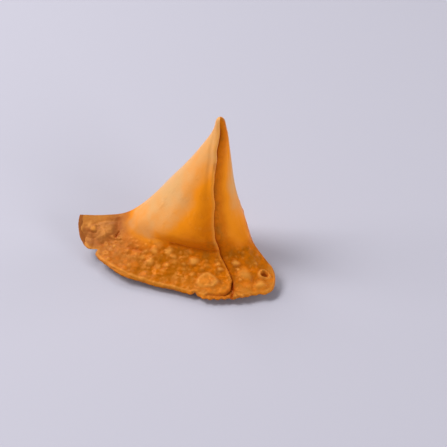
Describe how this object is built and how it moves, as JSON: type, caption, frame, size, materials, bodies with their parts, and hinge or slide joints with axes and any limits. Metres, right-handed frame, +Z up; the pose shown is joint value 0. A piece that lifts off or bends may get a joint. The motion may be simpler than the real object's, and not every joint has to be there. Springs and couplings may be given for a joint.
{
  "type": "samosa",
  "caption": "Fried cone of folded dough standing on its sealed edge, with a lap down the front and a thick blistered fringe turned up at one end.",
  "frame": {"origin": "middle of the footprint's bounding box, on the surface that the samosa stands on", "axes": "+Z up through the tip, +X along the sealed fringe towards its plain end, -Y towards the front, where the dough laps over itself"},
  "size_m": [0.112, 0.056, 0.086],
  "materials": {
    "fried_dough": "golden deep-fried wheat dough, satin with a little oil, darker and browner on the blistered fringe"
  },
  "bodies": {
    "root": {"samosa": "fried_dough"}
  },
  "joints": []
}
